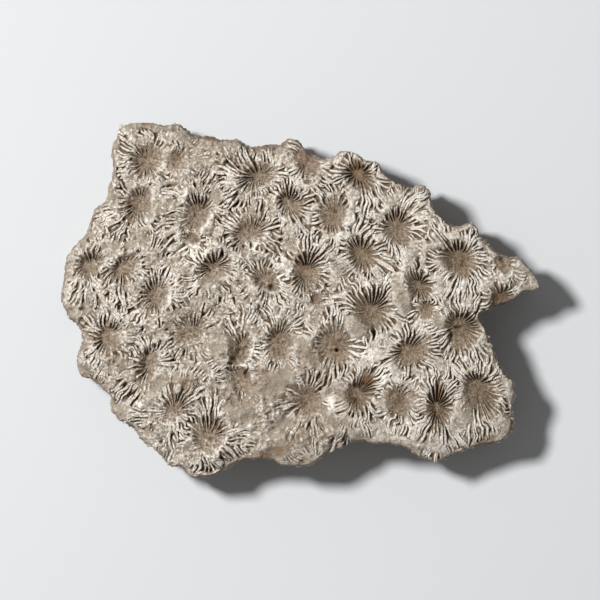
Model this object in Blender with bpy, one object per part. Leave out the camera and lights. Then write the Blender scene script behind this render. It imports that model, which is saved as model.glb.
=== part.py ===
"""Fossil coral head: a piece of a massive colony, broken off all round and cut flat below.

The crown is a low dome crowded with calices, the star-shaped cups that the polyps sat in.
Each cup is a round pit with thin plates, the septa, running from its floor over the wall
into the next cup. The sides are rough fractures with a few ledges of older growth, and the
underside is the flat cut that the piece rests on. It grew as one thing, so it is one solid.

Lengths are in millimetres down to the last step, which turns them into metres.
+X is the long way, +Y the short way, +Z up, with the origin below the middle of the base.
"""
import math

import bmesh
import bpy
import numpy as np
from mathutils import Vector, noise
from mathutils.geometry import delaunay_2d_cdt

METRES_PER_MM = 0.001
COLLECTION = "fossil_coral_head"
NODE = "coral_head"

# Overall form
CROWN_HEIGHT = 19.0         # base to the highest part of the dome, without the lumps
DOME_DROP = 3.6             # how far the dome has fallen at the ends of its half axes
DOME_HALF_AXES = (43.0, 32.0)
SWELL_HEIGHT = 0.5          # slow rise and fall of the crown
SWELL_LENGTH = 17.0
SWELL_PHASE = (1.1, -0.6)
EDGE_ROLL_WIDTH = 3.2       # the crown rounds over towards the broken edge
EDGE_ROLL_DROP = 1.3

# Calices and septa
FLOOR_SHARE = 0.14          # flat floor of a pit, as a share of its radius
FLOOR_RING_SHARE = 0.18     # ring of points round the floor
PIT_STEEPNESS = 0.85        # under 1 the pit narrows to its floor like a funnel
SEPTUM_RELIEF = 0.46        # half the height from a groove's bottom to a septum's edge
SEPTUM_FADE = (             # how far out in the calice, share of that relief
    (FLOOR_SHARE, 0.0), (0.4, 1.0), (0.75, 1.0), (1.0, 0.8), (1.5, 0.55),
)
SEPTA_SMALL = 9             # ridges in a small calice
SEPTA_LARGE = 12            # ridges in a large calice
LARGE_RADIUS = 3.9
RING_SHARES = (0.42, 0.72, 1.0)     # rings of points from the floor to the wall's crest
WALL_REACH = 1.5            # a calice's ground ends here where it has no neighbour
REACH_STEPS = 53            # steps of the walk out to the next calice
SLOPE_SPACING = 0.37        # points of the slopes closer together than this are joined
CREST_SPACING = 0.62        # the same for the crests, where two calices meet
GROUND_SPACING = 1.65       # points of the bare ground between the calices
GROUND_CLEARANCE = 1.0      # and how far those keep from the calices' points
RIM_CLEARANCE = 0.35        # and how far all points keep from the rim

# Walls: share of the rim's height, inset from the outline, share of the fracture's waviness
RIM_INSET = 0.8
WALL_RINGS = (
    (0.85, 0.2, 0.2),
    (0.66, 0.0, 0.0),
    (0.50, 0.3, 1.0),
    (0.36, 0.5, 1.0),
    (0.17, 0.9, 1.0),
    (0.0, 1.3, 0.8),
)
FRACTURE_DEPTH = 1.7        # how far the fracture eats in behind the widest line
FRACTURE_BIAS = 0.15        # raises the waves, so that more of the wall is eaten
FRACTURE_LENGTH = 8.0       # spacing of its hollows along the wall
LEDGE_SLANT = 0.28          # how far the rings climb and fall, as a share of the height

# Outline seen from above, clockwise from the upper left corner
OUTLINE = (
    (-32.6, 31.0), (-31.3, 31.7), (-28.4, 32.0), (-25.9, 31.8), (-24.3, 31.4), (-22.7, 31.9),
    (-20.9, 31.2), (-19.4, 30.0), (-17.3, 29.8), (-15.7, 29.7), (-13.9, 29.0), (-11.2, 29.0),
    (-9.0, 27.8), (-6.3, 28.0), (-3.8, 28.0), (-2.0, 29.2), (0.0, 28.6), (0.9, 27.4),
    (4.3, 25.6), (5.8, 25.8), (7.4, 26.9), (9.9, 26.6), (11.9, 25.3), (14.2, 24.9),
    (15.2, 22.9), (16.9, 21.6), (19.8, 20.2), (21.6, 20.8), (23.4, 19.6), (24.1, 16.7),
    (26.3, 14.4), (28.6, 13.4), (30.4, 14.0), (32.0, 13.1), (32.9, 11.0), (36.4, 8.2),
    (39.1, 7.8), (40.3, 7.2), (42.3, 4.5), (43.1, 2.2), (40.1, 1.2), (37.4, -0.4),
    (33.3, -2.2), (32.5, -2.9), (33.8, -6.0), (35.5, -10.3), (37.4, -13.5), (38.5, -14.4),
    (39.0, -17.3), (38.4, -18.5), (38.4, -22.9), (36.7, -25.2), (33.8, -26.1), (31.0, -26.7),
    (27.9, -27.8), (24.7, -29.1), (21.8, -28.7), (19.4, -27.0), (16.6, -26.2), (12.6, -25.9),
    (11.3, -25.5), (8.8, -26.1), (8.1, -26.6), (5.6, -27.2), (3.8, -28.7), (1.4, -29.9),
    (-3.2, -29.9), (-5.4, -28.9), (-9.2, -28.8), (-10.8, -29.2), (-13.3, -30.6),
    (-15.7, -31.8), (-18.5, -32.1), (-19.8, -32.0), (-21.4, -30.1), (-23.6, -30.0),
    (-25.9, -27.4), (-28.4, -25.6), (-30.1, -23.1), (-32.6, -21.6), (-34.2, -19.4),
    (-34.0, -17.7), (-35.5, -16.2), (-37.4, -14.6), (-39.6, -13.7), (-40.3, -11.7),
    (-40.3, -10.1), (-39.4, -7.4), (-40.1, -4.9), (-41.8, -3.1), (-43.1, 0.0), (-42.6, 4.0),
    (-42.1, 7.9), (-39.8, 10.7), (-38.6, 12.2), (-37.4, 15.8), (-37.1, 16.6), (-35.1, 18.1),
    (-34.6, 20.5), (-33.8, 22.9), (-34.0, 26.6), (-33.8, 28.1), (-33.1, 29.2), (-32.9, 30.2),
)

# Calices: centre x, centre y, radius to the wall's crest, depth of the pit
CALICES = (
    (10.4, 22.2, 4.1, 3.0), (17.9, 13.5, 4.4, 2.7), (28.4, 7.3, 4.8, 3.0), (13.0, -1.4, 5.2, 2.9),
    (21.1, 2.9, 4.0, 2.8), (22.2, -1.8, 2.6, 1.8), (11.2, 8.3, 4.3, 2.8), (5.9, 15.2, 4.0, 2.4),
    (-1.4, 17.4, 4.1, 2.5), (2.0, 25.0, 3.9, 2.2), (-7.9, 22.0, 4.9, 2.4), (-9.1, 12.4, 4.6, 2.4),
    (1.0, 5.2, 4.6, 2.8), (5.9, -8.0, 5.0, 2.5), (-3.2, -7.6, 4.7, 2.0), (19.8, -9.3, 4.5, 2.3),
    (29.3, -4.8, 4.6, 2.7), (36.5, 0.5, 3.6, 1.9), (11.2, -16.4, 4.6, 2.9), (18.0, -17.8, 3.6, 2.0),
    (25.3, -19.2, 4.7, 3.1), (31.8, -16.5, 4.8, 2.6), (-10.9, -8.8, 3.8, 2.2), (-10.6, -13.6, 3.2, 1.8),
    (1.2, -18.2, 4.2, 1.8), (-16.2, -24.5, 5.0, 2.5), (-22.8, -19.2, 5.0, 2.0),
    (-27.5, -11.4, 4.4, 2.6), (-34.0, -6.6, 4.5, 2.3), (-25.7, 0.8, 4.6, 2.6), (-30.8, 5.8, 4.3, 2.5),
    (-37.0, 6.6, 4.0, 2.3), (-28.9, 17.1, 4.6, 2.6), (-27.7, 25.3, 4.6, 2.4), (-18.6, 15.7, 4.7, 2.3),
    (-15.4, 5.2, 4.7, 2.7), (-6.0, 3.7, 3.7, 1.8), (-21.8, 25.2, 3.1, 1.0), (-19.6, -5.6, 4.5, 1.7),
    (-19.9, 11.0, 2.4, 0.9), (2.9, 0.5, 1.8, 0.8), (36.4, 6.7, 2.2, 0.9),
)

# Lumps and patches of hardened sediment: centre x, centre y, half widths x and y, height
LUMP_FALLOFF = 1.2          # a lump has fallen to exp(-1.2) of its height at its half width
LUMPS = (
    (8.5, 14.9, 1.7, 1.7, 0.9), (-34.2, -8.1, 2.0, 1.8, 0.8), (-32.2, -5.9, 1.6, 1.4, 0.6),
    (-24.3, -0.5, 1.4, 1.6, 0.7), (-29.7, 6.1, 1.3, 1.6, 0.6), (17.1, -18.0, 1.1, 1.3, 0.7),
    (-21.8, -16.0, 0.8, 1.1, 0.9), (-19.8, 16.7, 1.8, 1.4, 0.7), (-13.5, -9.0, 2.6, 2.9, 0.6),
    (-6.3, -15.8, 4.5, 3.6, 0.4), (18.5, 0.0, 1.8, 2.5, 0.4), (10.1, -4.7, 2.5, 2.5, 0.4),
)

# Limestone: warm grey beige, dull and rough
STONE_COLOUR = (0.53, 0.46, 0.38, 1.0)
STONE_ROUGHNESS = 0.92

outline = np.array(OUTLINE)
outline -= (outline.min(axis=0) + outline.max(axis=0)) / 2
calices = np.array(CALICES)
lumps = np.array(LUMPS)


def clear_scene():
    """Start from an empty scene."""
    for old in list(bpy.data.objects):
        bpy.data.objects.remove(old, do_unlink=True)


def outward_normals(loop):
    """Unit normals of a clockwise loop, each from its point's two neighbours."""
    along = np.roll(loop, -1, axis=0) - np.roll(loop, 1, axis=0)
    normals = np.stack((-along[:, 1], along[:, 0]), axis=1)
    return normals / np.linalg.norm(normals, axis=1)[:, None]


def distance_to_outline(points):
    """Distance from each point to the outline's nearest edge, negative outside."""
    start = outline
    edge = np.roll(outline, -1, axis=0) - start
    offset = points[:, None, :] - start[None, :, :]
    share = (offset * edge).sum(axis=2) / (edge ** 2).sum(axis=1)
    share = np.clip(share, 0.0, 1.0)
    gap = np.linalg.norm(offset - share[:, :, None] * edge, axis=2).min(axis=1)
    above = offset[:, :, 1] < 0.0
    crosses = above != np.roll(above, -1, axis=1)
    slope = edge[:, 0] / np.where(edge[:, 1] == 0.0, 1e-9, edge[:, 1])
    crossing_x = start[:, 0] + (points[:, 1:2] - start[:, 1]) * slope
    inside = ((points[:, 0:1] < crossing_x) & crosses).sum(axis=1) % 2 == 1
    return np.where(inside, gap, -gap)


def nearest_calice(points):
    """Index of the calice that owns each point, and how far out in it the point is, 0 to 1."""
    offset = points[:, None, :] - calices[None, :, 0:2]
    share = np.linalg.norm(offset, axis=2) / calices[:, 2]
    owner = share.argmin(axis=1)
    return owner, share[np.arange(len(points)), owner]


def septa_count(radius):
    """Ridges that a calice of each radius carries."""
    return np.where(radius >= LARGE_RADIUS, SEPTA_LARGE, SEPTA_SMALL)


def crown_height(points):
    """Height of the crown: dome, swell, rolled edge, lumps, and the calices with their septa."""
    x, y = points[:, 0], points[:, 1]
    dome = CROWN_HEIGHT - DOME_DROP * ((x / DOME_HALF_AXES[0]) ** 2 + (y / DOME_HALF_AXES[1]) ** 2)
    turn = 2.0 * math.pi / SWELL_LENGTH
    swell = SWELL_HEIGHT * np.sin(turn * x + SWELL_PHASE[0]) * np.sin(turn * y + SWELL_PHASE[1])
    edge_share = np.clip(1.0 - distance_to_outline(points) / EDGE_ROLL_WIDTH, 0.0, 1.0)
    roll = EDGE_ROLL_DROP * edge_share ** 2

    owner, share = nearest_calice(points)
    radius, depth = calices[owner, 2], calices[owner, 3]
    out = np.clip((share - FLOOR_SHARE) / (1.0 - FLOOR_SHARE), 0.0, 1.0)
    pit = depth * (0.5 + 0.5 * np.cos(math.pi * out ** PIT_STEEPNESS))
    offset = points - calices[owner, 0:2]
    angle = np.arctan2(offset[:, 1], offset[:, 0])
    ridges = septa_count(radius)
    relief = np.interp(share, *np.array(SEPTUM_FADE).T)
    relief *= SEPTUM_RELIEF * depth / calices[:, 3].max()
    septa = relief * np.cos(ridges * angle)

    bump = np.zeros(len(points))
    for lump_x, lump_y, half_x, half_y, height in lumps:
        away = ((x - lump_x) / half_x) ** 2 + ((y - lump_y) / half_y) ** 2
        bump += height * np.exp(-LUMP_FALLOFF * away)
    return dome + swell - roll - pit + septa + bump


def calice_points(index):
    """Points of one calice: its centre, a floor ring, the slope's rings and the wall's crest."""
    centre, radius = calices[index, 0:2], calices[index, 2]
    ridges = int(septa_count(radius))
    spokes = np.arange(2 * ridges) * math.pi / ridges
    rays = np.stack((np.cos(spokes), np.sin(spokes)), axis=1)
    rings = [centre[None, :], centre + rays[::2] * radius * FLOOR_RING_SHARE]
    rings += [centre + rays * radius * share for share in RING_SHARES]
    slope_points = np.concatenate(rings)
    owner, _ = nearest_calice(slope_points)
    slope_points = slope_points[owner == index]

    reach = np.linspace(RING_SHARES[1], WALL_REACH, REACH_STEPS) * radius
    walk = centre + rays[:, None, :] * reach[None, :, None]
    owner, _ = nearest_calice(walk.reshape(-1, 2))
    owned = (owner == index).reshape(len(rays), -1)
    last = np.where(owned.all(axis=1), -1, owned.argmin(axis=1))
    crest_points = walk[np.arange(len(rays)), last]
    return slope_points, crest_points[owned[:, 0]]


def ground_points():
    """Staggered rows of points over the whole crown, for the ground between the calices."""
    low, high = outline.min(axis=0), outline.max(axis=0)
    row_step = GROUND_SPACING * math.sqrt(3.0) / 2.0
    rows = np.arange(low[1], high[1], row_step)
    columns = np.arange(low[0], high[0], GROUND_SPACING)
    x = columns[None, :] + np.where(np.arange(len(rows)) % 2 == 0, 0.0, GROUND_SPACING / 2)[:, None]
    y = np.broadcast_to(rows[:, None], x.shape)
    return np.stack((x.ravel(), y.ravel()), axis=1)


def keep_apart(kept, candidates, spacing):
    """Add each candidate that is at least the spacing away from every point kept so far."""
    kept = list(kept)
    for point in candidates:
        if not kept or np.linalg.norm(np.array(kept) - point, axis=1).min() >= spacing:
            kept.append(point)
    return np.array(kept)


def crown_points(rim):
    """All points of the crown inside the rim, the calices first and the bare ground last."""
    slopes, crests = zip(*(calice_points(index) for index in range(len(calices))))
    points = keep_apart(rim, np.concatenate(slopes), SLOPE_SPACING)
    points = keep_apart(points, np.concatenate(crests), CREST_SPACING)
    points = keep_apart(points, ground_points(), GROUND_CLEARANCE)
    inner = points[len(rim):]
    return inner[distance_to_outline(inner) > RIM_INSET + RIM_CLEARANCE]


def build_crown(bm, rim_layer):
    """Triangulate the crown's points and lift each one to its height."""
    rim = outline - outward_normals(outline) * RIM_INSET
    points = np.concatenate((rim, crown_points(rim)))
    rim_edges = [(i, (i + 1) % len(rim)) for i in range(len(rim))]
    flat, _, faces, *_ = delaunay_2d_cdt([Vector(p) for p in points], rim_edges, [], 1, 1e-4)
    heights = crown_height(np.array([tuple(v) for v in flat]))
    verts = [bm.verts.new((v.x, v.y, z)) for v, z in zip(flat, heights)]
    for index in range(len(rim)):
        verts[index][rim_layer] = index
    for face in faces:
        bm.faces.new([verts[i] for i in face])


def build_walls(bm, rim_layer):
    """Carry the rim down to the base in rings: rounded edge, widest line, ledge, cut."""
    normals = outward_normals(outline)
    edges = [edge for edge in bm.edges if edge.is_boundary]
    rim_heights = {vert[rim_layer]: vert.co.z for edge in edges for vert in edge.verts}
    for height_share, inset, waviness in WALL_RINGS:
        extruded = bmesh.ops.extrude_edge_only(bm, edges=edges)["geom"]
        edges = [item for item in extruded if isinstance(item, bmesh.types.BMEdge)]
        for vert in (item for item in extruded if isinstance(item, bmesh.types.BMVert)):
            index = vert[rim_layer]
            x, y = outline[index]
            place = Vector((x, y, 2.0 * CROWN_HEIGHT * height_share)) / FRACTURE_LENGTH
            slant = LEDGE_SLANT * height_share * (1.0 - height_share) * noise.noise(place)
            depth = inset + waviness * FRACTURE_DEPTH * max(FRACTURE_BIAS + noise.noise(place.zxy), 0.0)
            x, y = outline[index] - normals[index] * depth
            vert.co = (x, y, rim_heights[index] * (height_share + slant))
    bmesh.ops.contextual_create(bm, geom=edges)


def build_stone():
    """The dull stone that the whole skeleton has turned into."""
    stone = bpy.data.materials.new("stone")
    stone.use_nodes = True
    shader = stone.node_tree.nodes["Principled BSDF"]
    shader.inputs["Base Color"].default_value = STONE_COLOUR
    shader.inputs["Roughness"].default_value = STONE_ROUGHNESS
    shader.inputs["Metallic"].default_value = 0.0
    return stone


def build_coral_head():
    """The coral head as one closed solid, in metres."""
    bm = bmesh.new()
    rim_layer = bm.verts.layers.int.new("rim")
    build_crown(bm, rim_layer)
    build_walls(bm, rim_layer)
    bmesh.ops.triangulate(bm, faces=bm.faces)
    bmesh.ops.recalc_face_normals(bm, faces=bm.faces)
    bmesh.ops.scale(bm, vec=Vector((METRES_PER_MM,) * 3), verts=bm.verts)
    mesh = bpy.data.meshes.new(NODE)
    bm.to_mesh(mesh)
    bm.free()
    mesh.materials.append(build_stone())
    return bpy.data.objects.new(NODE, mesh)


clear_scene()
group = bpy.data.collections.new(COLLECTION)
bpy.context.scene.collection.children.link(group)
group.objects.link(build_coral_head())
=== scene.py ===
"""A fossil coral head lying on its cut base on a pale table, seen from straight above."""
import math

import bmesh
import bpy
import numpy as np
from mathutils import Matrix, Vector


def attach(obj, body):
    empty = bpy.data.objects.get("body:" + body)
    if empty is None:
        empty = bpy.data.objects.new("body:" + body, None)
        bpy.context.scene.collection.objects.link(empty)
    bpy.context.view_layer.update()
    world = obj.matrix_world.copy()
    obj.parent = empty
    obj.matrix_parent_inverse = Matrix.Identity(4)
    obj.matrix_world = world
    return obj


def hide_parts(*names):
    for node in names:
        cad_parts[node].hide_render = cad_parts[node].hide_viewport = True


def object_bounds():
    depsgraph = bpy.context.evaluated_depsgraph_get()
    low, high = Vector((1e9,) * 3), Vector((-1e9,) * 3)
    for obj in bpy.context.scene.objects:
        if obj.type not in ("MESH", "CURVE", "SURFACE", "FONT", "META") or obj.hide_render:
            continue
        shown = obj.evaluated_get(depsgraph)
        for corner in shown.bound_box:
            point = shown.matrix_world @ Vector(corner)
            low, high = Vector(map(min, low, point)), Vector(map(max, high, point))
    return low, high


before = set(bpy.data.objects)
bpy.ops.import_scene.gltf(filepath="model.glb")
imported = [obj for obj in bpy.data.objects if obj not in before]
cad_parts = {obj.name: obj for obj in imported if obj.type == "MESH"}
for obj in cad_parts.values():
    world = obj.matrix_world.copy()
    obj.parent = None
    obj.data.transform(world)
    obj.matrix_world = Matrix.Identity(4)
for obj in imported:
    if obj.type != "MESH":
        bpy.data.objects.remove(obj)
cad_low, cad_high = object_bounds()

# ---------------------------------------------------------------------------------------
# Camera. It hangs over the crown on a long lens and looks straight down, with the long
# way of the piece across the picture.
CAMERA_HEIGHT = 1.6
VIEW_WIDTH = 0.108
VIEW_PLANE = 0.014
VIEW_MIDDLE = 0.00005
lens = bpy.data.cameras.new("overhead_lens")
lens.sensor_width = 36.0
lens.lens = lens.sensor_width * (CAMERA_HEIGHT - VIEW_PLANE) / VIEW_WIDTH
lens.clip_end = 10.0
camera = bpy.data.objects.new("overhead_camera", lens)
camera.location = (0.0, VIEW_MIDDLE, CAMERA_HEIGHT)
bpy.context.scene.collection.objects.link(camera)
bpy.context.scene.camera = camera

# ---------------------------------------------------------------------------------------
# Coral head, the plan. A piece of massive coral, turned to limestone, broken out of its
# colony and cut off flat below. Its shape is worked out in millimetres on one grid of
# points seen from above: x to the right, y up the picture.
GRID_STEP = 0.12
GRID_SHAPE = (576, 768)
# A grain holds what lies between one width of blur and this many times that width
BAND = 2.2

OUTLINE = (
    (-32.6, 31.0), (-31.3, 31.7), (-28.4, 32.0), (-25.9, 31.8), (-24.3, 31.4), (-22.7, 31.9),
    (-20.9, 31.2), (-19.4, 30.0), (-17.3, 29.8), (-15.7, 29.7), (-13.9, 29.0), (-11.2, 29.0),
    (-9.0, 27.8), (-6.3, 28.0), (-3.8, 28.0), (-2.0, 29.2), (0.0, 28.6), (0.9, 27.4),
    (4.3, 25.6), (5.8, 25.8), (7.4, 26.9), (9.9, 26.6), (11.9, 25.3), (14.2, 24.9),
    (15.2, 22.9), (16.9, 21.6), (19.8, 20.2), (21.6, 20.8), (23.4, 19.6), (24.1, 16.7),
    (26.3, 14.4), (28.6, 13.4), (30.4, 14.0), (32.0, 13.1), (32.9, 11.0), (36.4, 8.2),
    (39.1, 7.8), (40.3, 7.2), (42.3, 4.5), (43.1, 2.2), (40.1, 1.2), (37.4, -0.4),
    (33.3, -2.2), (32.5, -2.9), (33.8, -6.0), (35.5, -10.3), (37.4, -13.5), (38.5, -14.4),
    (39.0, -17.3), (38.4, -18.5), (38.4, -22.9), (36.7, -25.2), (33.8, -26.1), (31.0, -26.7),
    (27.9, -27.8), (24.7, -29.1), (21.8, -28.7), (19.4, -27.0), (16.6, -26.2), (12.6, -25.9),
    (11.3, -25.5), (8.8, -26.1), (8.1, -26.6), (5.6, -27.2), (3.8, -28.7), (1.4, -29.9),
    (-3.2, -29.9), (-5.4, -28.9), (-9.2, -28.8), (-10.8, -29.2), (-13.3, -30.6),
    (-15.7, -31.8), (-18.5, -32.1), (-19.8, -32.0), (-21.4, -30.1), (-23.6, -30.0),
    (-25.9, -27.4), (-28.4, -25.6), (-30.1, -23.1), (-32.6, -21.6), (-34.2, -19.4),
    (-34.0, -17.7), (-35.5, -16.2), (-37.4, -14.6), (-39.6, -13.7), (-40.3, -11.7),
    (-40.3, -10.1), (-39.4, -7.4), (-40.1, -4.9), (-41.8, -3.1), (-43.1, 0.0), (-42.6, 4.0),
    (-42.1, 7.9), (-39.8, 10.7), (-38.6, 12.2), (-37.4, 15.8), (-37.1, 16.6), (-35.1, 18.1),
    (-34.6, 20.5), (-33.8, 22.9), (-34.0, 26.6), (-33.8, 28.1), (-33.1, 29.2), (-32.9, 30.2),
)

rows, columns = GRID_SHAPE
grid_x = np.broadcast_to((np.arange(columns) - columns / 2) * GRID_STEP, GRID_SHAPE)
grid_y = np.broadcast_to(((np.arange(rows) - rows / 2) * GRID_STEP)[:, None], GRID_SHAPE)
across = np.fft.rfftfreq(columns, GRID_STEP)[None, :]
along = np.fft.fftfreq(rows, GRID_STEP)[:, None]
fineness = np.hypot(across, along)


def blurred(field, width):
    """The field after a Gaussian blur: its spectrum times exp(-2 (pi width frequency)^2)."""
    softened = np.fft.rfft2(field) * np.exp(-2 * (np.pi * width * fineness) ** 2)
    return np.fft.irfft2(softened, field.shape)


def grain(size, seed):
    """Random relief of one coarseness: white noise blurred by size, less the same blurred wider."""
    white = np.fft.rfft2(np.random.default_rng(seed).standard_normal(GRID_SHAPE))
    narrow, wide = (np.exp(-2 * (np.pi * width * fineness) ** 2) for width in (size, BAND * size))
    relief = np.fft.irfft2(white * (narrow - wide), GRID_SHAPE)
    return relief / relief.std()


def grains(*layers):
    """Sum of random reliefs, each given as its height, size and seed."""
    return sum(height * grain(size, seed) for height, size, seed in layers)


def ramp(value, low, high):
    """0 below low, 1 above high, and 3 t^2 - 2 t^3 between them."""
    t = np.clip((value - low) / (high - low), 0.0, 1.0)
    return t * t * (3.0 - 2.0 * t)


def at(field, px, py):
    """The field's value at any points, bilinear between the grid's own points."""
    column = np.clip(np.asarray(px) / GRID_STEP + columns / 2, 0, columns - 1.001)
    row = np.clip(np.asarray(py) / GRID_STEP + rows / 2, 0, rows - 1.001)
    c, r = column.astype(int), row.astype(int)
    u, v = column - c, row - r
    low = field[r, c] * (1 - u) + field[r, c + 1] * u
    high = field[r + 1, c] * (1 - u) + field[r + 1, c + 1] * u
    return low * (1 - v) + high * v


def spots(table, edge=1.5):
    """Sum of ellipses: each row is centre x, y, half widths, turn in degrees and strength.

    One ellipse is exp(-(r^2)^edge), so a greater edge gives a flatter top and a sharper side.
    """
    total = np.zeros(GRID_SHAPE)
    for cx, cy, half_x, half_y, turn, strength in table:
        c, s = math.cos(math.radians(turn)), math.sin(math.radians(turn))
        u = ((grid_x - cx) * c + (grid_y - cy) * s) / half_x
        v = ((grid_y - cy) * c - (grid_x - cx) * s) / half_y
        total += strength * np.exp(-((u * u + v * v) ** edge))
    return total


def rounded_loop(points, pieces):
    """Catmull-Rom curve through a closed run of points, each span cut in equal pieces."""
    p0, p1 = np.roll(points, 1, axis=0), points
    p2, p3 = np.roll(points, -1, axis=0), np.roll(points, -2, axis=0)
    t = np.linspace(0.0, 1.0, pieces, endpoint=False)[None, :, None]
    a, b, c, d = (p[:, None, :] for p in (p0, p1, p2, p3))
    curve = b + 0.5 * t * (c - a + t * (2 * a - 5 * b + 4 * c - d + t * (3 * (b - c) + d - a)))
    return curve.reshape(-1, 2)


def depth_inside(loop, px, py):
    """Distance from points to a closed line, positive inside it and negative outside."""
    edge = np.roll(loop, -1, axis=0) - loop
    best = np.full(px.shape, np.inf)
    crossings = np.zeros(px.shape, int)
    for (sx, sy), (ex, ey) in zip(loop, edge):
        ox, oy = px - sx, py - sy
        t = np.clip((ox * ex + oy * ey) / (ex * ex + ey * ey), 0.0, 1.0)
        best = np.minimum(best, np.hypot(ox - t * ex, oy - t * ey))
        spans = (oy >= 0) != (oy >= ey)
        crossings += spans & (ox < oy * ex / (ey if ey else 1e-9))
    return np.where(crossings % 2 == 1, best, -best)


outline = np.array(OUTLINE)
outline -= (outline.min(axis=0) + outline.max(axis=0)) / 2
outline = rounded_loop(outline, 5)

# The distance to the rim is worked out at every third point and filled in between them
COARSE = 3
edge_depth = depth_inside(outline, grid_x[::COARSE, ::COARSE], grid_y[::COARSE, ::COARSE])
for axis in (0, 1):
    length = edge_depth.shape[axis]
    fine = np.linspace(0, length - 1, COARSE * (length - 1) + 1)
    edge_depth = np.apply_along_axis(lambda run: np.interp(fine, np.arange(len(run)), run), axis, edge_depth)
edge_depth = np.pad(edge_depth, [(0, r - e) for r, e in zip(GRID_SHAPE, edge_depth.shape)], mode="edge")

# Coral head, the calices. Each polyp sat in a cup of limestone with a low rounded wall. The
# cups crowd one another, so a wall is shared and runs halfway between two centres.

# Centre x, y, radius to the crest, depth, strength of the septa, share taken by the floor, how
# much longer than wide, turn of the long way, and the side where the gaps are open, in degrees.
# The last cup lay beyond the rim, and only plates of its wall are left.
CALICES = (
    (10.4, 22.2, 4.1, 3.0, 1.0, 0.12, 1.35, 110, 85), (17.9, 13.5, 4.4, 2.7, 1.0, 0.22, 1.35, 112, 95),
    (28.4, 7.3, 4.8, 3.0, 1.0, 0.20, 1.20, 120, 80), (13.0, -1.4, 5.2, 2.9, 1.0, 0.06, 1.25, 100, 85),
    (21.1, 2.9, 4.0, 2.8, 1.0, 0.08, 1.55, 112, 70), (22.2, -1.8, 2.6, 1.8, 0.9, 0.14, 1.10, 90, 90),
    (11.2, 8.3, 4.3, 2.8, 1.0, 0.18, 1.20, 80, 85), (5.9, 15.2, 4.0, 2.9, 1.0, 0.12, 1.40, 95, 80),
    (-1.4, 17.4, 4.1, 2.5, 1.0, 0.12, 1.30, 72, 95), (2.0, 25.0, 3.9, 2.2, 0.9, 0.20, 1.20, 120, 120),
    (-7.9, 22.0, 4.9, 2.4, 1.0, 0.10, 1.15, 60, 100), (-9.1, 12.4, 4.6, 2.6, 1.0, 0.10, 1.15, 70, 100),
    (1.0, 5.2, 4.6, 2.8, 1.0, 0.12, 1.35, 78, 140), (5.9, -8.0, 5.0, 2.5, 0.9, 0.34, 1.30, 90, 95),
    (-3.2, -7.6, 4.7, 2.0, 0.8, 0.18, 1.30, 95, 110), (19.8, -9.3, 4.5, 2.3, 1.0, 0.10, 1.30, 20, 110),
    (29.3, -4.8, 4.6, 2.7, 0.9, 0.14, 1.30, 70, 60), (36.5, 0.5, 3.6, 1.9, 0.8, 0.16, 1.00, 0, 90),
    (11.2, -16.4, 4.6, 2.9, 1.0, 0.10, 1.45, 65, 70), (18.0, -17.8, 3.6, 2.0, 0.9, 0.14, 1.20, 75, 70),
    (25.3, -19.2, 4.7, 3.1, 1.0, 0.08, 1.55, 90, 90), (31.8, -16.5, 4.8, 2.6, 0.9, 0.12, 1.50, 118, 60),
    (-10.9, -8.8, 3.8, 2.2, 0.8, 0.15, 1.60, 62, 150), (-10.6, -13.6, 3.2, 1.8, 0.7, 0.20, 1.00, 0, 60),
    (1.2, -18.0, 3.9, 1.9, 0.8, 0.20, 1.00, 0, 110), (-16.2, -24.5, 5.0, 2.2, 1.0, 0.10, 1.30, 108, 80),
    (-22.8, -19.2, 5.0, 1.5, 0.9, 0.12, 1.35, 60, 60), (-27.5, -11.4, 4.4, 2.6, 1.0, 0.14, 1.35, 75, 135),
    (-34.0, -6.6, 4.5, 2.3, 1.0, 0.16, 1.30, 60, 170), (-25.7, 0.8, 4.6, 2.6, 1.0, 0.18, 1.50, 65, 165),
    (-30.8, 5.8, 4.3, 2.5, 1.0, 0.16, 1.55, 62, 180), (-37.0, 6.6, 4.0, 2.3, 1.0, 0.16, 1.45, 62, 188),
    (-28.9, 17.1, 4.6, 2.6, 1.0, 0.16, 1.40, 55, 162), (-27.7, 25.3, 4.6, 2.4, 1.0, 0.18, 1.00, 0, 150),
    (-18.6, 15.7, 4.7, 2.3, 1.0, 0.16, 1.40, 62, 80), (-15.4, 5.2, 4.7, 2.7, 1.0, 0.14, 1.10, 60, 105),
    (-6.0, 3.7, 3.7, 1.8, 0.8, 0.16, 1.30, 115, 100), (-21.8, 25.2, 3.1, 1.0, 0.5, 0.20, 1.00, 0, 90),
    (-19.6, -5.6, 4.5, 1.9, 0.8, 0.18, 1.20, 40, 80), (-19.9, 11.0, 2.4, 0.9, 0.5, 0.20, 1.00, 0, 90),
    (2.9, 0.5, 1.8, 0.8, 0.6, 0.20, 1.00, 0, 90), (36.4, 6.7, 2.2, 0.9, 0.5, 0.20, 1.00, 0, 90),
    (2.6, -33.0, 4.4, 0.8, 0.8, 0.20, 1.00, 0, 90),
)
calices = np.array(CALICES)
cup_x, cup_y, radii = calices[:, 0], calices[:, 1], calices[:, 2]
stretch, turn = np.sqrt(calices[:, 6]), np.radians(calices[:, 7])


def cup_place(px, py, row):
    """Place in one cup's own oval, as its share of the way to the crest, right and up."""
    c, s = math.cos(turn[row]), math.sin(turn[row])
    dx, dy = px - cup_x[row], py - cup_y[row]
    u = (dx * c + dy * s) / stretch[row]
    v = (dy * c - dx * s) * stretch[row]
    return (u * c - v * s) / radii[row], (u * s + v * c) / radii[row]


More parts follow.
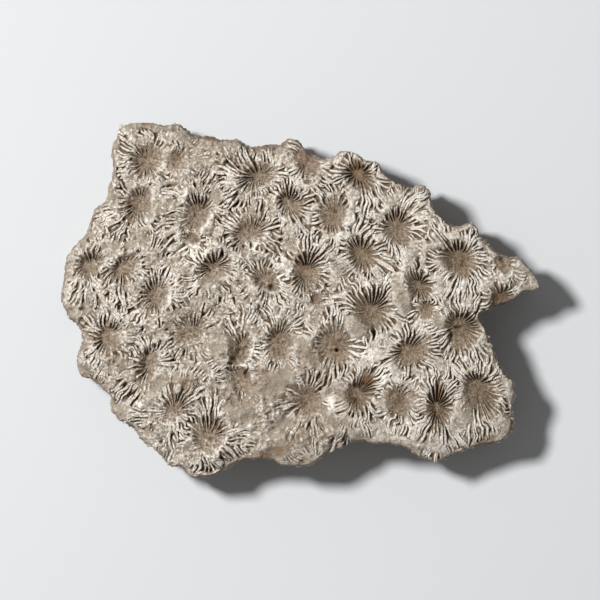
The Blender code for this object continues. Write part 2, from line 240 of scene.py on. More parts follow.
# The left half has weathered more: this falls from 0.6 at the left to 0 on the right
left_half = 0.6 * ramp(-grid_x, -10.0, 12.0)
sway_x = grid_x + grains((0.4, 2.2, 1))
sway_y = grid_y + grains((0.4, 2.2, 2))
share = np.full(GRID_SHAPE, np.inf)
owner = np.zeros(GRID_SHAPE, int)
spoke = np.zeros(GRID_SHAPE)
for row in range(len(calices)):
    right, up = cup_place(sway_x, sway_y, row)
    here = np.hypot(right, up)
    owner = np.where(here < share, row, owner)
    spoke = np.where(here < share, np.arctan2(up, right), spoke)
    share = np.minimum(share, here)
cup_depth, cup_strength, cup_floor = np.moveaxis(calices[owner, 3:6], -1, 0)
open_side = np.radians(calices[owner, 8])

# Coral head, the septa in plan. Thin upright plates stand round every cup like spokes, run out
# over the wall and meet those of the next cup. Long ones start near the cup's floor, a short one
# stands between each two of them, and farther out more fill the gaps that open up.
PLATE_PITCH = 0.84
PITCH_SHARE = 0.60
NEAREST = 0.3
FARTHEST = 1.9
RIM_MARGIN = 0.6
SHORTEST = 0.12
OVERLAP = 0.03
JITTER = 0.16
CUP_FILL = 0.37
WALL_FILL = 0.70
WIDTH_SPREAD = (0.7, 1.25)
BLUNT_END = 0.45
END_TAPER = 2.2
# Where among its neighbours, nearest and farthest start as a share of the way out, steps
CYCLES = ((0.0, 0.08, 0.32, 10), (0.5, 0.62, 0.84, 7), (0.25, 1.12, 1.35, 4), (0.75, 1.12, 1.35, 4))
# How much narrower the spacing gets as more plates come in, and from where to where
CROWDING = ((0.5, 0.62, 0.84), (0.4, 1.15, 1.35))

wander_x = grains((0.20, 0.55, 71), (0.14, 1.4, 76))
wander_y = grains((0.20, 0.55, 72), (0.14, 1.4, 77))
bare_rim = RIM_MARGIN + 0.8 * left_half + grains((0.4, 1.5, 74))
plate_random = np.random.default_rng(7)
plate_counts = np.round(2 * np.pi * PITCH_SHARE * radii / PLATE_PITCH).astype(int)
plate_cup = np.repeat(np.arange(len(calices)), plate_counts)
plate_order = np.arange(len(plate_cup)) - np.repeat(np.cumsum(plate_counts) - plate_counts, plate_counts)
first_angle = plate_random.uniform(0.0, 6.28, len(calices))[plate_cup]


def cup_points(cup, angle, out_share):
    """Plan points at an angle and a share of the way out, stretched to the cup's oval and swayed."""
    c, s = np.cos(turn[cup])[:, None], np.sin(turn[cup])[:, None]
    right = out_share * radii[cup][:, None] * np.cos(angle)
    up = out_share * radii[cup][:, None] * np.sin(angle)
    u = (right * c + up * s) * stretch[cup][:, None]
    v = (up * c - right * s) / stretch[cup][:, None]
    px = cup_x[cup][:, None] + u * c - v * s
    py = cup_y[cup][:, None] + u * s + v * c
    return px - at(sway_x - grid_x, px, py), py - at(sway_y - grid_y, px, py)


def courses(shift, start_low, start_high, steps):
    """Plan of one cycle of plates: x, y and width at each step of each.

    A plate runs outward at its own angle from its start, or from the rim if its cup lies beyond
    it, to where another cup is nearer or the rim comes. It bends with the sway of the whole
    colony, so that neighbours never cross. Its width is a share of the spacing, less at its ends.
    """
    cup = plate_cup
    jitter = plate_random.uniform(-JITTER, JITTER, len(cup))
    angle = (first_angle + 2 * np.pi * (plate_order + shift + jitter) / plate_counts[cup])[:, None]
    reach = np.linspace(NEAREST, FARTHEST, 80)[None, :]
    px, py = cup_points(cup, angle, reach)
    rival = np.full(px.shape, np.inf)
    swayed_x, swayed_y = at(sway_x, px, py), at(sway_y, px, py)
    for row in range(len(calices)):
        away = np.hypot(*cup_place(swayed_x, swayed_y, row))
        rival = np.where((cup == row)[:, None], rival, np.minimum(rival, away))
    on_crown = at(edge_depth - bare_rim, px, py) > 0.0
    first = on_crown.argmax(axis=1)
    stopped = (rival < reach) | (~on_crown & np.maximum.accumulate(on_crown, axis=1))
    stopped[:, -1] = True
    end = (reach[0, stopped.argmax(axis=1)] + OVERLAP) * on_crown.any(axis=1)
    start = plate_random.uniform(start_low, start_high, len(cup))
    start = np.where(first > 0, np.maximum(start, reach[0, first]), start)
    keep = end - start > SHORTEST
    cup, angle, start, end = cup[keep], angle[keep], start[keep], end[keep]

    run = np.linspace(0.0, 1.0, steps + 1)[None, :]
    out_share = start[:, None] + (end - start)[:, None] * run
    px, py = cup_points(cup, angle, out_share)
    outer = ramp(out_share, 0.5, 0.8)
    px, py = px + outer * at(wander_x, px, py), py + outer * at(wander_y, px, py)
    pitch = 2 * np.pi * out_share * (radii / plate_counts)[cup][:, None]
    for narrower, begin, finish in CROWDING:
        pitch = pitch * (1.0 - narrower * ramp(out_share, begin, finish))
    fill = CUP_FILL + (WALL_FILL - CUP_FILL) * outer
    taper = np.minimum(1.0, BLUNT_END + END_TAPER * np.minimum(run, 1.0 - run))
    return px, py, pitch * fill * taper * plate_random.uniform(*WIDTH_SPREAD, len(cup))[:, None]


plates = [courses(*cycle) for cycle in CYCLES]

# The share of the crown that plates cover: each piece of a plate adds its own area to the grid
PARTS = 6
covered = np.zeros(GRID_SHAPE)
for px, py, width in plates:
    step_x, step_y = px[:, 1:] - px[:, :-1], py[:, 1:] - py[:, :-1]
    area = np.hypot(step_x, step_y) / PARTS * width[:, 1:]
    for part in np.linspace(0.0, 0.9, PARTS):
        row = np.round((py[:, :-1] + part * step_y) / GRID_STEP).astype(int) + rows // 2
        column = np.round((px[:, :-1] + part * step_x) / GRID_STEP).astype(int) + columns // 2
        np.add.at(covered, (row, column), area / GRID_STEP ** 2)
covered = blurred(covered, 0.4)

# Coral head, the crown's relief. A low dome, the cups in it, the open slots between the plates,
# and what time has done: worn patches, hardened sediment, small holes and the grain of the stone.
CROWN_HEIGHT = 18.9
DOME_DROP = 3.6
DOME_HALF_AXES = (43.0, 32.0)
SWELL_HEIGHT = 0.5
SWELL_LENGTH = 17.0
SWELL_PHASE = (1.1, -0.6)
EDGE_ROLL_WIDTH = 3.2
EDGE_ROLL_DROP = 1.3
PIT_STEEPNESS = 0.9
PIT_DEEPNESS = 0.66
USUAL_DEPTH = 2.6
CREST_SHARE = 0.86
SLOPE_END = (0.64, 0.78)
SLOPE_GAP = 0.86
WALL_GAP = 0.90
FLOOR_GAP = 0.45
SILT = 0.25
SHARP_EDGE = 4.0

# Worn smooth: x, y, half widths, turn, strength
WORN = (
    (-6.3, -15.8, 4.5, 3.6, 0, 1.0), (-10.8, -20.7, 2.7, 2.2, 0, 1.0), (-16.7, 14.0, 1.5, 2.5, 0, 1.0),
    (-26.6, 18.4, 1.5, 1.8, 0, 1.0), (-13.5, -9.0, 2.5, 2.9, 0, 1.0), (-15.7, 3.1, 2.7, 2.2, 0, 1.0),
    (0.0, -8.3, 2.2, 2.2, 0, 1.0), (-23.8, 25.6, 1.5, 2.2, 0, 1.0), (18.5, 0.0, 1.8, 2.5, 0, 0.9),
    (25.2, -3.6, 2.2, 1.8, 0, 0.9), (25.7, 6.3, 1.7, 1.7, 0, 0.9), (30.2, -19.8, 1.5, 3.2, 0, 0.8),
    (15.3, -18.0, 1.3, 2.2, 0, 0.8), (20.7, -18.0, 1.5, 2.2, 0, 0.8), (-33.8, 9.0, 1.5, 2.2, 0, 0.9),
    (-25.2, -14.0, 2.2, 2.5, 0, 1.0), (10.1, -4.7, 2.5, 2.5, 0, 0.9), (-1.8, -13.5, 2.7, 1.5, 0, 0.8),
    (8.1, -17.6, 1.4, 2.2, 0, 0.8), (-3.2, -21.6, 1.8, 1.8, 0, 1.0), (4.6, -21.4, 1.8, 1.6, 0, 0.9),
)
# Lumps of hardened sediment: the same, with the height in mm
LUMPS = (
    (-34.2, -8.1, 2.0, 1.8, 0, 0.8), (-32.2, -5.9, 1.6, 1.4, 0, 0.6),
    (-24.3, -0.5, 1.4, 1.6, 0, 0.7), (-29.7, 6.1, 1.3, 1.6, 0, 0.6), (17.1, -18.0, 1.1, 1.3, 0, 0.7),
    (-21.8, -16.0, 0.8, 1.1, 0, 0.9), (-19.8, 16.7, 1.8, 1.4, 0, 0.7), (-13.5, -9.0, 2.6, 2.9, 0, 0.6),
    (-6.3, -15.8, 4.5, 3.6, 0, 0.4), (18.5, 0.0, 1.8, 2.5, 0, 0.4), (10.1, -4.7, 2.5, 2.5, 0, 0.4),
)
# Holes and slits: the same, with the depth in mm
HOLES = (
    (6.7, -9.0, 0.35, 0.35, 0, 1.5), (-5.0, 2.3, 0.6, 0.5, 0, 1.3), (-12.2, 4.9, 0.7, 0.4, 0, 1.0),
    (-14.0, 8.5, 0.3, 0.7, 0, 1.2), (-15.3, 6.8, 0.5, 0.8, 0, 1.0), (-15.8, -4.7, 2.4, 0.3, 30, 0.6),
    (-0.5, -20.2, 0.4, 0.9, 0, 1.0), (4.9, 2.5, 0.5, 0.5, 0, 1.2), (4.3, 1.4, 0.5, 0.4, 0, 1.0),
    (2.5, 0.5, 0.6, 1.1, 0, 1.0), (-22.7, -11.2, 0.4, 0.8, 0, 1.2), (-20.3, -9.4, 0.4, 0.5, 0, 1.0),
    (-19.6, -10.1, 0.4, 0.5, 0, 1.0), (-12.1, -10.4, 0.6, 0.4, 0, 0.7), (-9.5, -13.1, 0.5, 0.8, 0, 1.2),
    (-27.5, -9.4, 0.5, 0.9, 0, 1.2), (30.2, 2.2, 0.3, 0.5, 0, 1.2), (36.4, 7.2, 0.6, 0.5, 0, 1.0),
    (8.3, -25.2, 0.7, 1.0, 0, 1.2), (-16.6, -30.6, 1.0, 0.7, 0, 1.2), (10.3, 14.7, 0.3, 1.2, 11, 1.2),
    (1.4, 21.2, 0.7, 0.4, 0, 1.0), (4.3, 21.4, 0.4, 0.7, 0, 1.0), (27.2, -6.7, 0.4, 1.0, 0, 1.0),
    (-10.1, 9.7, 0.36, 0.36, 0, 1.0), (-8.8, 9.9, 0.3, 0.55, 0, 1.0), (-5.9, 8.8, 0.36, 0.36, 0, 1.0),
    (3.8, -16.0, 0.25, 0.25, 0, 1.0), (-12.6, -11.3, 0.45, 0.3, 0, 1.0), (-19.1, -18.9, 0.22, 0.22, 0, 0.8),
    (-11.2, -4.1, 0.3, 0.3, 0, 0.9), (-23.9, -5.6, 0.25, 0.55, 0, 1.0), (-29.0, -17.5, 0.5, 0.5, 0, 1.0),
    (4.1, -23.2, 0.36, 0.55, 0, 1.0), (28.4, -4.9, 0.7, 0.27, 0, 0.9), (-3.4, 10.8, 0.36, 0.3, 0, 0.9),
    (-39.2, -1.6, 0.55, 0.36, 0, 1.0), (-40.1, -0.5, 0.3, 0.55, 0, 1.0), (-14.0, 20.2, 0.2, 0.6, 0, 0.9),
    (5.9, 23.9, 0.2, 0.7, -38, 0.8), (0.9, 15.7, 0.3, 0.4, 0, 0.9), (-3.1, 15.5, 0.3, 0.3, 0, 0.9),
    (-0.9, 14.0, 0.3, 0.25, 0, 0.9), (-17.2, -2.5, 0.5, 0.3, 20, 0.8), (13.3, -5.7, 0.35, 1.2, 0, 1.0),
)
# Flakes with a sharp edge, and caps of hard sediment: the same, with the height in mm
FLAKES = (
    (8.4, 14.8, 1.7, 1.8, 0, 0.45), (18.5, 0.0, 1.7, 2.4, 10, 0.2), (10.1, -4.7, 2.4, 2.4, 0, 0.18),
    (-16.7, 13.9, 1.3, 2.3, -15, 0.5), (-14.6, 12.3, 1.0, 1.5, -20, 0.4), (-21.6, 17.8, 1.9, 0.8, 35, 0.4),
    (-26.9, 15.2, 1.1, 1.8, -15, 0.45), (-21.9, -15.9, 0.7, 1.1, -20, 0.6), (-13.5, -9.0, 2.5, 2.8, 0, 0.4),
    (-24.1, -0.3, 1.3, 1.6, -30, 0.5), (0.6, -8.1, 2.0, 2.1, 0, 0.3), (-33.0, -7.0, 2.2, 1.4, 30, 0.5),
)
# Crusts of small crumbs: the same, with the strength
CRUSTS = (
    (-6.3, -19.8, 3.0, 3.4, 0, 1.0), (3.6, -24.6, 3.6, 1.6, 0, 0.9), (-1.2, -24.4, 2.2, 2.0, 0, 0.8),
    (-33.6, -12.2, 3.0, 2.0, 0, 0.6), (-22.0, -8.6, 3.0, 2.2, 20, 0.8), (-13.0, -16.2, 2.4, 3.4, 0, 0.6),
    (-26.0, -22.6, 2.6, 1.8, -35, 0.7), (-38.6, -3.6, 2.2, 2.6, 0, 0.6), (-12.2, 26.0, 3.4, 1.6, 0, 0.6),
    (-17.4, 22.0, 3.0, 2.6, 0, 0.7), (-32.6, 12.0, 3.0, 2.2, 0, 0.6), (4.8, 1.6, 2.2, 2.0, 0, 0.7),
    (7.6, 20.0, 2.4, 1.6, 0, 0.5), (-20.0, -1.2, 3.4, 1.6, 0, 0.7),
)

smooth = np.clip(spots(WORN) + 2.0 * spots(FLAKES, SHARP_EDGE), 0.0, 1.0)
thick_crust = np.clip(spots(CRUSTS), 0.0, 1.0)
thin_crust = grains((1.0, 1.1, 21), (0.35, 0.35, 22)) + 0.5 * left_half
thin_crust = ramp(thin_crust, 0.55, 1.3) * (0.25 + 0.7 * left_half)
buried = np.clip(smooth + 1.2 * thin_crust * ramp(share, 0.7, 0.9), 0.0, 1.0)

dome = CROWN_HEIGHT - DOME_DROP * ((grid_x / DOME_HALF_AXES[0]) ** 2 + (grid_y / DOME_HALF_AXES[1]) ** 2)
swell = SWELL_HEIGHT * np.sin(2 * np.pi * grid_x / SWELL_LENGTH + SWELL_PHASE[0])
swell = swell * np.sin(2 * np.pi * grid_y / SWELL_LENGTH + SWELL_PHASE[1])
roll = EDGE_ROLL_DROP * np.clip(1.0 - edge_depth / EDGE_ROLL_WIDTH, 0.0, 1.0) ** 2
out = np.clip((share - cup_floor) / (CREST_SHARE - cup_floor), 0.0, 1.0)
pit = PIT_DEEPNESS * cup_depth * (1.0 + 0.5 * left_half) * (0.5 + 0.5 * np.cos(np.pi * out ** PIT_STEEPNESS))
pit = blurred(pit, 0.15)

# Slots between the plates: deep on a cup's slope, shallow on its floor and broken up on the wall
past_slope = ramp(share, *SLOPE_END)
on_floor = FLOOR_GAP * (1.0 - 0.8 * ramp(cup_floor, 0.15, 0.25))
slope = on_floor * ramp(share, 0.03, 0.12) + (1.0 - on_floor) * ramp(share, cup_floor, cup_floor + 0.28)
slope = slope * (1.0 - past_slope)
wall = past_slope * (1.0 - 0.3 * ramp(share, 1.12, 1.5))
silted = SILT * (1.0 + 0.8 * left_half) * (1.0 - np.cos(spoke - open_side))
patchy = 0.35 + 0.65 * ramp(grain(1.6, 65), -1.1, 0.5)
broken = 0.12 + 0.88 * ramp(grains((0.6, 0.5, 66), (0.8, 1.2, 67)) + 0.15 * left_half, -1.0, 0.4)
strength = blurred(cup_strength, 0.8) * (1.0 + 0.3 * left_half) * (1.0 - buried) * (1.0 - 0.25 * thick_crust)
gap = SLOPE_GAP * slope * cup_depth / USUAL_DEPTH * (1.0 - silted) * patchy + WALL_GAP * wall * broken
gap = blurred(strength * gap, 0.1) * ramp(covered, 0.10, 0.42)

# Grain: the left half is coarser, a cup's floor is grainy, and a thick crust is all crumbs and pits
rough = grains((0.05 + 0.06 * left_half, 0.2, 33), (0.05 + 0.09 * left_half, 0.5, 32))
rough = rough + (0.03 + 0.09 * left_half) * np.abs(grain(0.4, 91))
rough = rough + (0.03 + 0.13 * left_half) * ramp(grain(0.2, 38), 0.9, 2.2)
rough = rough - (0.10 + 0.32 * left_half) * ramp(-grain(0.19, 37), 0.8, 1.9)
rough = rough * (1.0 - 0.35 * smooth)
rough = rough + 0.10 * (1.0 - ramp(share, cup_floor, cup_floor + 0.2)) * grain(0.25, 34)
crumbly = 0.42 * ramp(grain(0.26, 92), -0.2, 1.4) - 0.45 * ramp(-grain(0.3, 94), 0.6, 1.5)
rough = rough + thick_crust * (crumbly + grains((0.24, 0.5, 93), (0.30, 0.9, 95)))
hills = grains((0.16 + 0.34 * left_half, 1.3, 35), (0.06 + 0.20 * left_half, 0.6, 36))
lumps = 0.8 * spots(LUMPS) + spots(FLAKES, SHARP_EDGE) - spots(HOLES)
lumps = lumps + 0.15 * thin_crust + hills * ramp(share, 0.3, 0.7)
plate_top = dome + swell - roll - pit + lumps
crown = np.minimum(plate_top - gap + rough, cad_high[2] * 1000.0 - 0.02)

# Coral head, its marks. How far each place lies in a slot, whose dirt the finish deepens with painted
# shade, in a soiled cup, with painted shade on some of its sides, or in a hollow, which the finish
# darkens as painted shade; how weathered it is and how stained. The finish reads these from both meshes.
# Turn in radians from a cup's open side to the middle of the side that is painted in shade
SHADED_SIDE_TURN = 0.7

# Stained brown, rusty or ochre, and bleached pale: the same, with the strength. The strong small
# spot at 5.6, -18.4 among the pale ones is a painted highlight, a crystal's glint painted white.
STAINS = (
    (10.1, 23.8, 1.4, 1.8, 0, 1.0), (12.4, -14.4, 1.3, 2.0, 0, 1.0), (25.2, -16.8, 1.5, 2.0, 0, 0.8),
    (0.0, 6.8, 1.3, 2.4, 0, 0.8), (36.0, 0.0, 2.0, 2.0, 0, 0.6), (-5.8, -27.6, 4.2, 1.0, 15, 1.0),
    (2.2, -11.7, 4.6, 4.6, 0, 0.3), (-10.8, -17.1, 2.2, 2.6, 0, 0.3), (0.6, 25.4, 2.4, 2.0, 0, 0.5),
    (-15.7, 29.3, 2.4, 0.8, 0, 0.8), (-5.8, 28.2, 3.0, 0.8, 0, 0.8), (18.4, 20.9, 1.8, 1.0, -30, 0.8),
    (26.5, 14.9, 1.6, 1.0, -40, 0.8), (-28.0, 31.2, 2.0, 0.7, 0, 0.7), (33.8, -25.4, 2.2, 1.2, 30, 0.8),
    (-20.4, -15.4, 1.3, 1.6, 0, 0.9), (3.0, -20.0, 9.0, 7.0, 0, 0.2), (-6.8, -14.4, 3.4, 2.2, 0, 0.3),
)
BLEACHED_AND_GLINT = (
    (15.7, -13.9, 2.2, 1.8, 0, 1.0), (11.3, -9.4, 2.9, 1.6, 0, 1.0), (-5.9, -21.1, 2.8, 2.8, 0, 1.0),
    (-7.6, -9.0, 1.6, 2.0, 0, 1.0), (-3.1, 5.4, 1.3, 2.9, 0, 1.0), (-13.9, 22.9, 1.8, 1.4, 0, 0.9),
    (-19.4, 8.5, 4.3, 1.8, -15, 1.0), (11.7, 2.0, 2.2, 1.3, 0, 0.8), (-26.1, -18.9, 2.4, 2.0, 0, 0.7),
    # The spot at 5.6, -18.4 is a painted highlight: a crystal's glint
    (-8.8, 9.7, 2.2, 1.2, 0, 0.9), (5.6, -18.4, 0.8, 1.3, 0, 4.0),
    (5.6, -8.4, 2.0, 2.6, 0, 0.8), (-24.2, 6.8, 1.6, 5.0, -20, 0.5), (-33.0, 15.0, 1.6, 4.0, 0, 0.4),
    (-22.0, -22.0, 7.0, 6.0, 0, 0.35),
)

# Painted shade: the crown's blur less its height darkens every recess, at two widths, as light shut out of
# it would. Cup floors and worn patches are darkened with it.
hollow_shade = blurred(crown, 0.7) - crown + 1.2 * (blurred(crown, 0.22) - crown)
hollow_shade = hollow_shade + 0.22 * smooth + 0.4 * (1.0 - ramp(share, 0.1, 0.5)) * (1.0 - left_half)
# Painted shade on one side of each cup in the left half, turned from its open side, and painted light on the
# other
shaded_and_lit_sides = np.cos(spoke - open_side - SHADED_SIDE_TURN) * (1.0 - ramp(share, 0.55, 0.9))
hollow_shade = hollow_shade + 0.8 * left_half * shaded_and_lit_sides
settled = 0.5 * (1.0 - ramp(share, 0.12, 0.55)) * (1.0 - 1.2 * left_half) * (1.0 - smooth)
# Real soil in the cups' floors, with painted shade and light on their sides: the soil colour reaches farther
# out above and below each cup than to its sides, and it grows on the side opposite the open one in the right
# half and thins there in the left half.
soil_and_shade_end = 0.90 - 0.06 * np.cos(2.0 * spoke)
soil_and_shade = (1.0 - ramp(share / soil_and_shade_end, 0.45, 1.0)) * (1.0 - 0.5 * left_half)
soil_and_shade = soil_and_shade * (1.0 + (0.5 - 1.7 * left_half) * silted)
weathered = np.clip(0.1 + 1.1 * left_half - 0.5 * smooth + 0.7 * thick_crust, 0.0, 1.2)
stained = spots(STAINS) * (1.0 + grains((0.4, 0.5, 81))) - spots(BLEACHED_AND_GLINT) * (1.0 + grains((0.3, 0.4, 82)))

# Coral head, the body's mesh. The crown's grid is cut along the rim, a broken wall hangs from
# the rim down to the table, and one flat face closes the cut.
TRIANGLES = 180000
RIM_INSET = 0.45
NARROW = ((43.1, 2.3, 4.0, 2.5, 0, -0.38),)
SLOPING_EDGES = (
    (-16.6, 29.4, 2.5, 1.5, 0, 0.7), (-6.6, 27.6, 3.5, 1.5, 0, 0.8), (3.0, 26.2, 2.0, 1.2, 0, 0.6),
    (18.5, 20.6, 2.0, 1.5, 0, 0.8), (26.0, 14.6, 1.6, 1.6, 0, 0.7),
)
WIDEST = 0.34
WALL_ROWS = 46

rim_inset = RIM_INSET + spots(NARROW) + spots(SLOPING_EDGES) + grains((0.10, 0.9, 41))
rim_gap = edge_depth - np.clip(rim_inset, 0.06, 2.0)
inside = rim_gap > 0.0
cells = inside[:-1, :-1] & inside[1:, :-1] & inside[:-1, 1:] & inside[1:, 1:]
# Shrunk by a cell and grown again, so that no cell hangs on by a corner
core = np.pad(cells, 1)
core = core[:-2] & core[1:-1] & core[2:]
core = core[:, :-2] & core[:, 1:-1] & core[:, 2:]
spread = np.pad(core, 1)
spread = spread[:-2] | spread[1:-1] | spread[2:]
cells = spread[:, :-2] | spread[:, 1:-1] | spread[:, 2:]

number = np.arange(rows * columns).reshape(GRID_SHAPE)
quads = np.stack((number[:-1, :-1], number[:-1, 1:], number[1:, 1:], number[1:, :-1]), axis=-1)
padded = np.pad(cells, 1)
neighbours = (padded[:-2, 1:-1], padded[1:-1, 2:], padded[2:, 1:-1], padded[1:-1, :-2])
next_on_rim = {}
for side, neighbour in enumerate(neighbours):
    at_edge = cells & ~neighbour
    next_on_rim.update(zip(quads[at_edge, side].tolist(), quads[at_edge, (side + 1) % 4].tolist()))
rim = [next(iter(next_on_rim))]
while next_on_rim[rim[-1]] != rim[0]:
    rim.append(next_on_rim[rim[-1]])

used, crown_faces = np.unique(quads[cells], return_inverse=True)
crown_faces = crown_faces.reshape(-1, 4)
place = np.stack((grid_x.ravel()[used], grid_y.ravel()[used]), axis=1)
rim_index = np.searchsorted(used, rim)


def moved_onto_zero(points, field, rounds):
    """Newton steps along the field's slope until the points lie on its zero line."""
    slope_y, slope_x = np.gradient(blurred(field, 0.15), GRID_STEP)
    for _ in range(rounds):
        value = at(field, points[:, 0], points[:, 1])
        sx = at(slope_x, points[:, 0], points[:, 1])
        sy = at(slope_y, points[:, 0], points[:, 1])
        points = points - (value / np.maximum(sx * sx + sy * sy, 0.25))[:, None] * np.stack((sx, sy), axis=1)
    return points


rim_points = moved_onto_zero(place[rim_index], rim_gap, 3)
place[rim_index] = rim_points
crown_z = at(crown, place[:, 0], place[:, 1])
widest = moved_onto_zero(rim_points, edge_depth, 5)

rim_steps = np.linalg.norm(np.roll(rim_points, -1, axis=0) - rim_points, axis=1)
rim_length = rim_steps.sum()
rim_place = np.concatenate(([0.0], np.cumsum(rim_steps)[:-1]))

# The wall's own relief, on a strip that closes round the piece: s runs along the rim in columns,
# the rows run down. Ribs are plates seen edge on, across them lie beds of growth, and pieces have
# broken out.
STRIP_SHAPE = (128, 2048)
STRIP_HEIGHT = 18.0
ROWS_DOWN = 100.0
RIB_RELIEF = 0.09
BED_RELIEF = 0.10
CRUMB_RELIEF = 0.06
BREAK_DEPTH = 0.9
UNDERCUT = 1.0
strip_s = np.fft.rfftfreq(STRIP_SHAPE[1], rim_length / STRIP_SHAPE[1])[None, :]
strip_z = np.fft.fftfreq(STRIP_SHAPE[0], STRIP_HEIGHT / STRIP_SHAPE[0])[:, None]


def strip_grain(size_s, size_z, seed):
    """Random relief on the strip: white noise blurred by one width along it and one down it.

    What a blur BAND times as wide would leave is taken out of it.
    """
    white = np.fft.rfft2(np.random.default_rng(seed).standard_normal(STRIP_SHAPE))
    power = 2 * np.pi ** 2 * ((size_s * strip_s) ** 2 + (size_z * strip_z) ** 2)
    relief = np.fft.irfft2(white * np.exp(-power) * (1.0 - np.exp(-power * BAND ** 2)), STRIP_SHAPE)
    return relief / relief.std()


def on_strip(field, s, down):
    """The strip's value at a place along the rim and a share of the way down, bilinear."""
    column = (s / rim_length * STRIP_SHAPE[1]) % STRIP_SHAPE[1]
    row = np.clip(down * ROWS_DOWN, 0, STRIP_SHAPE[0] - 2)
    c, r = column.astype(int), row.astype(int)
    u, v = column - c, row - r
    next_c = (c + 1) % STRIP_SHAPE[1]
    upper = field[r, c] * (1 - u) + field[r, next_c] * u
    lower = field[r + 1, c] * (1 - u) + field[r + 1, next_c] * u
    return upper * (1 - v) + lower * v


down = np.linspace(0.0, 1.0, WALL_ROWS + 1)[1:, None]
s = np.broadcast_to(rim_place, (WALL_ROWS, len(rim)))
drift = s + 1.2 * on_strip(strip_grain(6.0, 4.0, 51), s, down)
lines = on_strip(strip_grain(0.16, 3.0, 52), drift, down)
beds = on_strip(strip_grain(5.0, 0.35, 53), s, down)
blocks = on_strip(strip_grain(2.2, 1.6, 54), s, down)
crumbs = on_strip(strip_grain(0.35, 0.35, 55), s, down)
eaten = np.clip(0.3 + blocks, 0.0, 3.0)
ribs = RIB_RELIEF * (1.0 + lines)
inset = BREAK_DEPTH * eaten + UNDERCUT * ramp(down, 0.5, 1.0) + ribs
inset = inset * ramp(down, WIDEST * 0.8, WIDEST * 1.8) + ribs * ramp(down, 0.0, 0.1)
inset = inset + BED_RELIEF * (1.0 + beds) * ramp(down, 0.05, 0.3)
inset = inset + CRUMB_RELIEF * crumbs * ramp(down, 0.0, 0.08)
to_widest = np.sin(np.pi / 2 * np.clip(down / WIDEST, 0.0, 1.0))
outward = widest - rim_points
outward_unit = outward / np.maximum(np.linalg.norm(outward, axis=1), 1e-6)[:, None]
wall_x = rim_points[:, 0] + outward[:, 0] * to_widest - outward_unit[:, 0] * inset
wall_y = rim_points[:, 1] + outward[:, 1] * to_widest - outward_unit[:, 1] * inset
# Towards the cut the wall evens out, over a dozen points of the rim, so that the cut never folds
EVEN_POINTS = 12.0
even = np.exp(-2 * (np.pi * EVEN_POINTS * np.fft.rfftfreq(len(rim))) ** 2)
evened = ramp(down, 0.55, 0.95)
for wall_side in (wall_x, wall_y):
    wall_side += evened * (np.fft.irfft(np.fft.rfft(wall_side) * even, len(rim)) - wall_side)
wall_z = crown_z[rim_index] * (1.0 - down)

ring = len(used) + np.arange(WALL_ROWS * len(rim)).reshape(WALL_ROWS, -1)
ring = np.concatenate((rim_index[None], ring))
next_ring = np.roll(ring, -1, axis=1)
wall_faces = np.stack((ring[:-1], ring[1:], next_ring[1:], next_ring[:-1]), axis=-1).reshape(-1, 4)
body_points = np.concatenate((
    np.column_stack((place, crown_z)),
    np.column_stack((wall_x.ravel(), wall_y.ravel(), wall_z.ravel())),
))

# Painted shade on the wall: darker where pieces have broken out, along the grooves between its ribs and on
# its beds, and none near the cut.
wall_hollow_shade = (0.15 * eaten + 0.30 * lines + 0.14 * beds) * (1.0 - ramp(down, 0.9, 1.0))
wall_stained = (at(stained, wall_x, wall_y) + 0.2) * (1.0 - ramp(down, 0.6, 1.0))
# Each mark on the crown's grid, and on the wall
mark_fields = {
    "gap": (gap + settled, 0.1), "cup": (soil_and_shade, 0.0), "hollow_shade": (hollow_shade, wall_hollow_shade),
    "weathered": (weathered, 0.5), "stained": (stained, wall_stained),
}
body_marks = {}
for mark, (on_crown, on_wall) in mark_fields.items():
    on_wall = np.broadcast_to(on_wall, wall_x.shape).ravel()
    body_marks[mark] = np.concatenate((at(on_crown, place[:, 0], place[:, 1]), on_wall))
body_marks["cut"] = np.zeros(len(body_points))
body_marks["cut"][ring[-1]] = 1.0

BOX_GAP = 1e-5
box_low = np.array(cad_low) + BOX_GAP * np.array((1, 1, 0))
box_high = np.array(cad_high) - BOX_GAP


def stone_object(name, points, polygons, marks):
    """Object of one mesh: points in mm kept in the box, faces in arrays of like sides, and marks."""
    mesh = bpy.data.meshes.new(name)
    loops = np.concatenate([faces.ravel() for faces in polygons])
    sides = np.concatenate([np.full(len(faces), faces.shape[1]) for faces in polygons])
    mesh.vertices.add(len(points))
    mesh.vertices.foreach_set("co", np.clip(points / 1000.0, box_low, box_high).astype(np.float32).ravel())
    mesh.loops.add(len(loops))
    mesh.loops.foreach_set("vertex_index", loops.astype(np.int32))
    mesh.polygons.add(len(sides))
    mesh.polygons.foreach_set("loop_start", (np.cumsum(sides) - sides).astype(np.int32))
    mesh.update(calc_edges=True)
    for mark, values in marks.items():
        mesh.attributes.new(mark, "FLOAT", "POINT").data.foreach_set("value", values.astype(np.float32))
    mesh.validate()
    stone_piece = bpy.data.objects.new(name, mesh)
    bpy.context.scene.collection.objects.link(stone_piece)
    return stone_piece


coral = stone_object("coral_surface", body_points, (crown_faces, wall_faces), body_marks)
# The grid is finer than the stone's own detail in most places, so the plain parts are thinned
thin = coral.modifiers.new("thin", "DECIMATE")
thin.ratio = TRIANGLES / (2 * (len(crown_faces) + len(wall_faces)))
thin.use_collapse_triangulate = True
coral.data = bpy.data.meshes.new_from_object(coral.evaluated_get(bpy.context.evaluated_depsgraph_get()))
coral.modifiers.clear()
kept = np.empty(len(coral.data.vertices) * 3, np.float32)
coral.data.vertices.foreach_get("co", kept)
kept = np.clip(kept.reshape(-1, 3), box_low, box_high)
coral.data.vertices.foreach_set("co", kept.astype(np.float32).ravel())
coral.data.shade_smooth()

